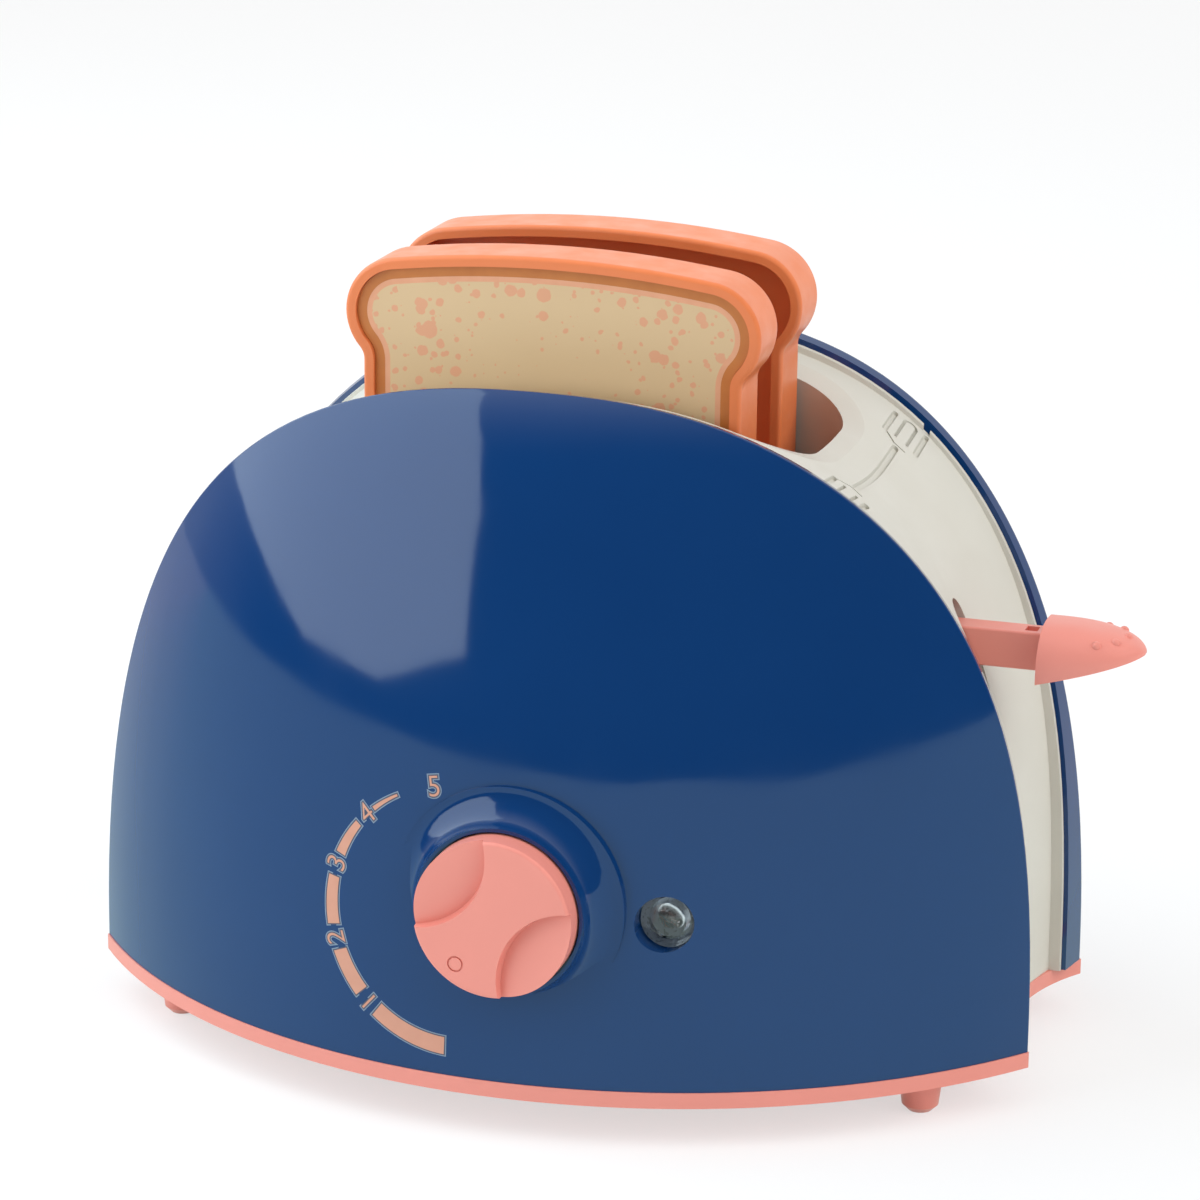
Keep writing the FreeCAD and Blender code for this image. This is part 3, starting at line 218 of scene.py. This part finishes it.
def make_floor():
    """White table that reads paler to the camera than in the object's gloss."""
    mesh = bpy.data.meshes.new("floor")
    reach = FLOOR_RADIUS
    corners = [(-reach, -reach), (reach, -reach), (reach, reach), (-reach, reach)]
    mesh.from_pydata([(x, y, -FLOOR_DROP) for x, y in corners], [], [(0, 1, 2, 3)])
    floor = bpy.data.objects.new("floor", mesh)
    material = bpy.data.materials.new("floor")
    material.use_nodes = True
    tree = material.node_tree
    tree.nodes.clear()
    matt = tree.nodes.new("ShaderNodeBsdfDiffuse")
    matt.inputs["Color"].default_value = FLOOR_TONE
    white = tree.nodes.new("ShaderNodeEmission")
    muted = tree.nodes.new("ShaderNodeEmission")
    tree.links.new(floor_in_gloss(tree), muted.inputs["Color"])
    path = tree.nodes.new("ShaderNodeLightPath")
    glossy = tree.nodes.new("ShaderNodeMixShader")
    tree.links.new(path.outputs["Is Glossy Ray"], glossy.inputs["Fac"])
    tree.links.new(matt.outputs[0], glossy.inputs[1])
    tree.links.new(muted.outputs[0], glossy.inputs[2])
    direct = tree.nodes.new("ShaderNodeMixShader")
    tree.links.new(white_share(tree, path), direct.inputs["Fac"])
    tree.links.new(glossy.outputs[0], direct.inputs[1])
    tree.links.new(white.outputs[0], direct.inputs[2])
    out = tree.nodes.new("ShaderNodeOutputMaterial")
    tree.links.new(direct.outputs[0], out.inputs["Surface"])
    mesh.materials.append(material)
    bpy.context.scene.collection.objects.link(floor)


def floor_in_gloss(tree):
    """The floor's colour in the object's gloss, brighter behind the object than in front."""
    place = tree.nodes.new("ShaderNodeTexCoord")
    axes = tree.nodes.new("ShaderNodeSeparateXYZ")
    tree.links.new(place.outputs["Object"], axes.inputs[0])
    behind = tree.nodes.new("ShaderNodeMapRange")
    behind.inputs["From Min"].default_value = FLOOR_BEHIND_START
    behind.inputs["From Max"].default_value = FLOOR_BEHIND_FULL
    tree.links.new(axes.outputs["Y"], behind.inputs["Value"])
    mix = tree.nodes.new("ShaderNodeMix")
    mix.data_type = "RGBA"
    mix.inputs[6].default_value = FLOOR_IN_GLOSS
    mix.inputs[7].default_value = FLOOR_BEHIND_IN_GLOSS
    tree.links.new(behind.outputs["Result"], mix.inputs[0])
    return mix.outputs[2]


def white_share(tree, path):
    """Part of the floor's look that is plain white, for rays from the camera or through glass."""
    seen = tree.nodes.new("ShaderNodeMath")
    seen.operation = "MAXIMUM"
    tree.links.new(path.outputs["Is Camera Ray"], seen.inputs[0])
    tree.links.new(path.outputs["Is Transmission Ray"], seen.inputs[1])
    share = tree.nodes.new("ShaderNodeMath")
    share.operation = "MULTIPLY"
    share.inputs[1].default_value = FLOOR_WHITE
    tree.links.new(seen.outputs[0], share.inputs[0])
    return share.outputs[0]


def make_world():
    """White to the camera; in gloss it is dark in front and bright behind and overhead."""
    world = bpy.data.worlds.new("studio")
    bpy.context.scene.world = world
    world.use_nodes = True
    tree = world.node_tree
    background = tree.nodes["Background"]
    background.inputs["Color"].default_value = (1, 1, 1, 1)
    path = tree.nodes.new("ShaderNodeLightPath")
    place = tree.nodes.new("ShaderNodeTexCoord")
    ahead = tree.nodes.new("ShaderNodeVectorMath")
    ahead.operation = "DOT_PRODUCT"
    tree.links.new(place.outputs["Generated"], ahead.inputs[0])
    ahead.inputs[1].default_value = GLOSS_BRIGHT_WAY
    gloss = tree.nodes.new("ShaderNodeMapRange")
    gloss.interpolation_type = "SMOOTHSTEP"
    gloss.inputs["From Min"].default_value = GLOSS_BRIGHT_START
    gloss.inputs["From Max"].default_value = GLOSS_BRIGHT_FULL
    gloss.inputs["To Min"].default_value = WORLD_IN_GLOSS[0]
    gloss.inputs["To Max"].default_value = WORLD_IN_GLOSS[1]
    tree.links.new(ahead.outputs["Value"], gloss.inputs["Value"])
    fill = tree.nodes.new("ShaderNodeMix")
    fill.inputs["A"].default_value = WORLD_FILL
    tree.links.new(path.outputs["Is Glossy Ray"], fill.inputs["Factor"])
    tree.links.new(gloss.outputs["Result"], fill.inputs["B"])
    level = tree.nodes.new("ShaderNodeMix")
    level.inputs["B"].default_value = 1.0
    tree.links.new(path.outputs["Is Camera Ray"], level.inputs["Factor"])
    tree.links.new(fill.outputs["Result"], level.inputs["A"])
    tree.links.new(level.outputs["Result"], background.inputs["Strength"])


# Materials
class Finish:
    """A principled material and the nodes that vary it."""

    def __init__(self, name, colour, roughness, **sockets):
        self.material = bpy.data.materials.new(name)
        self.material.use_nodes = True
        self.tree = self.material.node_tree
        self.shader = self.tree.nodes["Principled BSDF"]
        self.colour = linear(colour)
        self.shader.inputs["Base Color"].default_value = self.colour
        self.shader.inputs["Roughness"].default_value = roughness
        for socket, value in sockets.items():
            self.shader.inputs[socket.replace("_", " ")].default_value = value
        self.place = self.tree.nodes.new("ShaderNodeTexCoord").outputs["Object"]
        self.normal = None

    def node(self, kind, **settings):
        made = self.tree.nodes.new("ShaderNode" + kind)
        for key, value in settings.items():
            setattr(made, key, value)
        return made

    def link(self, source, target):
        self.tree.links.new(source, target)

    def noise(self, size, detail=2.0, distortion=0.0, stretch=None):
        """Noise whose features are about size metres, drawn out along stretch."""
        noise = self.node("TexNoise")
        noise.inputs["Scale"].default_value = 1 / size
        noise.inputs["Detail"].default_value = detail
        noise.inputs["Distortion"].default_value = distortion
        self.link(self.stretched(stretch) if stretch else self.place, noise.inputs["Vector"])
        return noise.outputs["Fac"]

    def stretched(self, scale):
        mapping = self.node("Mapping")
        mapping.inputs["Scale"].default_value = scale
        self.link(self.place, mapping.inputs["Vector"])
        return mapping.outputs["Vector"]

    def between(self, source, low, high, out_low=0.0, out_high=1.0):
        """Source mapped from low..high to out_low..out_high, held at the ends."""
        ranged = self.node("MapRange")
        limits = {"From Min": low, "From Max": high, "To Min": out_low, "To Max": out_high}
        for socket, value in limits.items():
            ranged.inputs[socket].default_value = value
        self.link(source, ranged.inputs["Value"])
        return ranged.outputs["Result"]

    def math(self, operation, first, second):
        made = self.node("Math", operation=operation)
        for at, value in enumerate((first, second)):
            if isinstance(value, (int, float)):
                made.inputs[at].default_value = value
            else:
                self.link(value, made.inputs[at])
        return made.outputs[0]

    def mix_in(self, share, colour):
        """Colour mixed over what the base colour has so far."""
        mix = self.node("Mix", data_type="RGBA")
        base = self.shader.inputs["Base Color"]
        if base.links:
            self.link(base.links[0].from_socket, mix.inputs[6])
        else:
            mix.inputs[6].default_value = self.colour
        mix.inputs[7].default_value = linear(colour)
        self.link(share, mix.inputs[0])
        self.link(mix.outputs[2], base)

    def clouds(self, size, detail, most, colour, distortion=0.0, span=CLOUD_SPAN):
        """Soft patches of another colour, mixed in up to the share most."""
        noise = self.noise(size, detail, distortion)
        self.mix_in(self.between(noise, *span, 0.0, most), colour)

    def roughness(self, source, smooth, rough, span=GLOSS_SPAN):
        self.link(self.between(source, *span, smooth, rough), self.shader.inputs["Roughness"])

    def bump(self, source, height):
        """Relief of that height in metres, added to what is there."""
        bump = self.node("Bump")
        bump.inputs["Distance"].default_value = height
        self.link(source, bump.inputs["Height"])
        if self.normal:
            self.link(self.normal, bump.inputs["Normal"])
        self.normal = bump.outputs["Normal"]
        self.link(self.normal, self.shader.inputs["Normal"])


def glossy_blue():
    made = Finish("blue_gloss", BLUE, 0.06)
    made.clouds(0.05, 3, 0.25, BLUE_CLOUD)
    made.roughness(made.noise(0.02, 4), 0.045, 0.09)
    made.bump(made.noise(0.035, 1), 0.00012)
    made.bump(made.noise(0.0015, 2), 0.0000015)
    return made.material


def moulded(name, colour, shade, roughness):
    """Satin moulded plastic: faint flow clouds, fine grain, slightly uneven gloss."""
    made = Finish(name, colour, roughness)
    made.clouds(0.03, 4, 0.5, shade, 0.6)
    made.roughness(made.noise(0.008, 4), roughness - 0.06, roughness + 0.06)
    made.bump(made.noise(0.0004, 3), 0.000012)
    return made.material


def toast_plastic():
    made = Finish("toast_orange", ORANGE, 0.34)
    made.clouds(0.012, 5, 0.5, ORANGE_CLOUD, 0.8, (0.4, 0.8))
    made.roughness(made.noise(0.006, 4), 0.28, 0.42)
    made.bump(made.noise(0.0007, 3), 0.00001)
    return made.material


def crumb_crowding(made, across, up):
    """How thickly the spots lie: most at the sides, some along the top, few in the middle."""
    low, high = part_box("front_toast_print")
    aside = made.math("ABSOLUTE", made.math("SUBTRACT", across, (low.x + high.x) / 2), 0)
    at_side = made.between(aside, *SIDE_SPOTS)
    start, full, few, many = TOP_SPOTS
    at_top = made.between(up, high.z - start, high.z - full, few, many)
    return made.math("MAXIMUM", at_side, at_top)


def card_crumb():
    """Printed crumb: pale face with scattered irregular spots, fewer towards the middle."""
    made = Finish("card_crumb", CRUMB, 0.45)
    made.clouds(0.02, 4, 0.5, CRUMB_CLOUD, span=(0.4, 0.75))
    wobble = made.node("TexNoise")
    wobble.inputs["Scale"].default_value = SPOT_WOBBLE_SCALE
    made.link(made.place, wobble.inputs["Vector"])
    warp = made.node("VectorMath", operation="MULTIPLY_ADD")
    made.link(wobble.outputs["Color"], warp.inputs[0])
    warp.inputs[1].default_value = (SPOT_WOBBLE, SPOT_WOBBLE, SPOT_WOBBLE)
    made.link(made.place, warp.inputs[2])
    axes = made.node("SeparateXYZ")
    made.link(warp.outputs[0], axes.inputs[0])
    face = made.node("CombineXYZ")
    made.link(axes.outputs["X"], face.inputs["X"])
    made.link(axes.outputs["Z"], face.inputs["Y"])
    crowd = crumb_crowding(made, axes.outputs["X"], axes.outputs["Z"])
    for size, most, chance in SPOT_LAYERS:
        cells = made.node("TexVoronoi", voronoi_dimensions="2D")
        cells.inputs["Scale"].default_value = 1 / size
        made.link(face.outputs[0], cells.inputs["Vector"])
        tone = made.node("SeparateColor")
        made.link(cells.outputs["Color"], tone.inputs[0])
        chosen = made.math("MULTIPLY", tone.outputs[0], crowd)
        reach = made.between(chosen, 1 - chance, 1.0, 0.0, most)
        inside = made.math("SUBTRACT", reach, cells.outputs["Distance"])
        made.mix_in(made.between(inside, *SPOT_EDGE), CRUMB_SPOT)
    made.bump(made.noise(0.0005, 3), 0.000006)
    return made.material


def printed(name, colour, shade, roughness=0.4):
    made = Finish(name, colour, roughness)
    made.clouds(0.004, 5, 0.6, shade)
    made.bump(made.noise(0.0004, 3), 0.000005)
    return made.material


def metal(name, colour, roughness, stretch=(1, 1, 1), share=1.0):
    """Bare or plated metal; a share under one reads as bright silver lacquer."""
    made = Finish(name, colour, roughness, Metallic=share)
    streaks = made.noise(0.0006, 4, 0, stretch)
    made.roughness(streaks, roughness * 0.7, roughness * 1.4)
    made.bump(streaks, 0.000004)
    return made.material


def clear(name, tone, roughness):
    made = Finish(name, tone, roughness, Transmission_Weight=1.0, IOR=1.49)
    made.roughness(made.noise(0.002, 3), roughness, roughness + 0.03, (0.3, 0.8))
    return made.material


def make_materials():
    return {
        "cream": moulded("cream_plastic", CREAM, CREAM_CLOUD, 0.42),
        "pink": moulded("pink_plastic", PINK, PINK_CLOUD, 0.4),
        "blue": glossy_blue(),
        "orange": toast_plastic(),
        "steel": metal("screw_steel", (150, 150, 155), 0.3),
        "polished": metal("polished_steel", (205, 205, 210), 0.16, (1, 1, 0.05)),
        "spring": metal("spring_steel", (170, 170, 172), 0.28),
        "plated": metal("plated_steel", (200, 200, 205), 0.25),
        "brass": metal("bush_brass", (201, 164, 92), 0.25),
        "chrome": metal("reflector_chrome", (214, 220, 228), 0.3, share=0.5),
        "lens": clear("clear_plastic", (250, 252, 255), 0.01),
        "lamp": clear("lamp_clear", (245, 248, 250), 0.05),
        "wrap": moulded("battery_wrap", (60, 62, 66), (48, 50, 54), 0.35),
        "board": moulded("board_green", (30, 92, 58), (24, 78, 48), 0.4),
        "black": moulded("black_plastic", (30, 30, 32), (40, 40, 42), 0.45),
        "red": moulded("wire_red", (178, 40, 36), (160, 34, 32), 0.4),
        "nylon": moulded("white_nylon", (232, 230, 222), (222, 220, 210), 0.5),
        "rubber": moulded("cup_rubber", (46, 46, 48), (56, 56, 58), 0.6),
    }


FINISHES = {
    "blue": ["front_cover", "rear_cover"],
    "cream": ["body_shell"],
    "pink": ["base_plate", "battery_door", "dial_knob", "lever_arm", "lever_handle"],
    "orange": ["front_toast", "rear_toast"],
    "steel": ["battery_door_screw", "base_screws", "front_cover_screws", "rear_cover_screws",
              "board_screws", "click_screw", "lever_screw", "dial_screw", "dial_washer"],
    "polished": ["guide_rods"],
    "spring": ["return_springs", "click_spring"],
    "plated": ["battery_contacts"],
    "brass": ["carriage_bushes"],
    "chrome": ["lamp_reflector"],
    "lens": ["light_lens"],
    "lamp": ["led_lamp"],
    "wrap": ["batteries"],
    "board": ["circuit_board"],
    "black": ["board_parts", "leaf_switch"],
    "red": ["led_wires"],
    "nylon": ["dial_bush", "click_wheel", "toast_carriage", "suction_pad"],
    "rubber": ["suction_cup"],
}


def dress_nodes(materials):
    for finish, names in FINISHES.items():
        for name in names:
            slots = nodes[name].data.materials
            slots.clear()
            slots.append(materials[finish])


# Pieces
def piece(name, mesh, body):
    made = bpy.data.objects.new(name, mesh)
    bpy.context.scene.collection.objects.link(made)
    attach(made, body)
    return made


def panel_surface():
    """Finds the front panel's y at a place given in millimetres."""
    mesh = nodes["front_cover"].data
    corners = [vertex.co for vertex in mesh.vertices]
    tree = BVHTree.FromPolygons(corners, [tuple(face.vertices) for face in mesh.polygons])

    def at(x, z):
        start = Vector((x * MM, RAY_START_Y, z * MM))
        hit = tree.ray_cast(start, Vector((0, 1, 0)))
        return hit[0].y

    return at


def scale_point(angle, radius):
    """Place on the panel for an angle from the -X side, turning up towards the top."""
    turn = math.radians(180 - angle)
    return SCALE_CENTRE[0] + radius * math.cos(turn), SCALE_CENTRE[1] + radius * math.sin(turn)


def panel_print(name, places, faces, surface, lift, ink):
    """Patch of print on the panel; lift is the share of the full lift at which its tier lies."""
    height = lift * PRINT_LIFT * MM
    mesh = bpy.data.meshes.new(name)
    mesh.from_pydata([(x * MM, surface(x, z) - height, z * MM) for x, z in places], [], faces)
    mesh.materials.append(ink)
    piece(name, mesh, "casing")


def scale_segment(number, surface, inks):
    start, end, width_start, width_end = SCALE_SEGMENTS[number]
    for tier, grow, lift in PRINT_TIERS:
        places = []
        spare = math.degrees(grow / SCALE_RADIUS)
        for step in range(SEGMENT_STEPS + 1):
            share = step / SEGMENT_STEPS
            angle = start - spare + (end - start + 2 * spare) * share
            half = (width_start + (width_end - width_start) * share) / 2 + grow
            places.append(scale_point(angle, SCALE_RADIUS - half))
            places.append(scale_point(angle, SCALE_RADIUS + half))
        faces = [(2 * at, 2 * at + 1, 2 * at + 3, 2 * at + 2) for at in range(SEGMENT_STEPS)]
        panel_print(f"scale_{tier}_{number + 1}", places, faces, surface, lift, inks[tier])


def digit_shape(digit, grow):
    """Flat mesh of a digit whose strokes are widened by grow on each side."""
    curve = bpy.data.curves.new("digit", "FONT")
    curve.body = digit
    curve.size = NUMBER_HEIGHT * FONT_SIZE_PER_HEIGHT
    curve.offset = grow - NUMBER_THINNING
    curve.align_x = "CENTER"
    curve.align_y = "CENTER"
    text = bpy.data.objects.new("digit", curve)
    flat = bpy.data.meshes.new_from_object(text)
    bpy.data.objects.remove(text)
    return flat


def scale_number(digit, angle, surface, inks):
    centre = scale_point(angle, SCALE_RADIUS)
    turn = math.radians(90 - angle)
    for tier, grow, lift in PRINT_TIERS:
        flat = digit_shape(digit, grow)
        places = []
        for vertex in flat.vertices:
            x = vertex.co.x * math.cos(turn) - vertex.co.y * math.sin(turn)
            z = vertex.co.x * math.sin(turn) + vertex.co.y * math.cos(turn)
            places.append((centre[0] + x, centre[1] + z))
        faces = [tuple(face.vertices) for face in flat.polygons]
        panel_print(f"number_{tier}_{digit}", places, faces, surface, lift, inks[tier])


def make_dial_scale():
    surface = panel_surface()
    # Ink fill, with a painted shade ring and a painted highlight ring round each mark
    inks = {
        "fill": printed("dial_print", DIAL_PRINT, DIAL_PRINT_CLOUD, 0.45),
        "shade": printed("dial_print_painted_shade", DIAL_PAINTED_SHADE, DIAL_PAINTED_SHADE_CLOUD, 0.4),
        "edge": printed("dial_print_edge_highlight", DIAL_EDGE_HIGHLIGHT, DIAL_EDGE_HIGHLIGHT_CLOUD, 0.4),
    }
    for number in range(len(SCALE_SEGMENTS)):
        scale_segment(number, surface, inks)
    for digit, angle in SCALE_NUMBERS:
        scale_number(digit, angle, surface, inks)


def card_outline(name, side):
    """Outline of a card's outer face as ordered (x, z) places, in metres."""
    mesh = nodes[name].data
    low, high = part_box(name)
    y = low.y if side < 0 else high.y
    close = 0.00002
    level = {vertex.index for vertex in mesh.vertices if abs(vertex.co.y - y) < close}
    faces = [face for face in mesh.polygons if level.issuperset(face.vertices)]
    places = {}
    for face in faces:
        for v in face.vertices:
            co = mesh.vertices[v].co
            places[v] = (round(co.x, 7), round(co.z, 7))
    sides = {}
    for face in faces:
        loop = [places[v] for v in face.vertices]
        for here, after in zip(loop, loop[1:] + loop[:1]):
            if (after, here) in sides:
                del sides[(after, here)]
            else:
                sides[(here, after)] = True
    onward = dict(sides.keys())
    start = next(iter(onward))
    outline = [start]
    while onward[outline[-1]] != start:
        outline.append(onward[outline[-1]])
    return outline, y


def inset(outline, distance):
    """Outline moved inwards by distance."""
    pairs = zip(outline, outline[1:] + outline[:1])
    area = sum(a[0] * b[1] - b[0] * a[1] for a, b in pairs)
    inward = math.copysign(1, area)
    moved = []
    count = len(outline)
    for at in range(count):
        before = Vector(outline[at - 1])
        here = Vector(outline[at])
        after = Vector(outline[(at + 1) % count])
        first = (here - before).normalized()
        second = (after - here).normalized()
        beside_first = Vector((-first.y, first.x))
        beside_second = Vector((-second.y, second.x))
        normal = (beside_first + beside_second).normalized() * inward
        lean = max(normal.dot(beside_first * inward), SHARPEST_LEAN)
        moved.append(tuple(here + normal * distance / lean))
    return moved


def make_card(name, side, body, materials):
    outline, y = card_outline(name, side)
    low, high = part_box(name)
    back = high.y if side < 0 else low.y
    rings = [(outline, back), (outline, y), (inset(outline, CRUST_WIDTH * MM), y),
             (inset(outline, (CRUST_WIDTH + LINE_WIDTH) * MM), y)]
    made = bmesh.new()
    loops = [[made.verts.new((x, depth, z)) for x, z in ring] for ring, depth in rings]
    count = len(outline)
    for ring, slot in ((0, CRUST_SLOT), (1, CRUST_SLOT), (2, LINE_SLOT)):
        for at in range(count):
            after = (at + 1) % count
            inner = loops[ring + 1]
            face = made.faces.new((loops[ring][at], loops[ring][after], inner[after], inner[at]))
            face.material_index = slot
    middle = made.faces.new(loops[-1])
    middle.material_index = CRUMB_SLOT
    made.faces.new(loops[0])
    bmesh.ops.recalc_face_normals(made, faces=made.faces)
    bmesh.ops.triangulate(made, faces=[middle])
    mesh = bpy.data.meshes.new(name.replace("print", "card"))
    made.to_mesh(mesh)
    made.free()
    for material in materials:
        mesh.materials.append(material)
    card = piece(mesh.name, mesh, body)
    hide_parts(name)


def make_springs(material):
    """Return springs, copied from the CAD part in spring steel and carried with the casing."""
    node = nodes["return_springs"]
    mesh = node.data.copy()
    mesh.name = "return_spring_coils"
    mesh.materials.clear()
    mesh.materials.append(material)
    springs = piece(mesh.name, mesh, "casing")
    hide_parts("return_springs")
    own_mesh(springs)


def make_cards():
    crust = printed("card_crust", CRUST, CRUST_CLOUD)
    line = printed("card_line", CARD_LINE, CARD_LINE_CLOUD)
    materials = [crust, line, card_crumb()]
    make_card("front_toast_print", -1, "front_slice", materials)
    make_card("rear_toast_print", 1, "rear_slice", materials)


def main():
    bpy.context.scene.view_settings.view_transform = "Standard"
    make_camera()
    make_softbox()
    make_suns()
    make_floor()
    make_world()
    materials = make_materials()
    dress_nodes(materials)
    make_dial_scale()
    make_cards()
    make_springs(materials["spring"])


main()
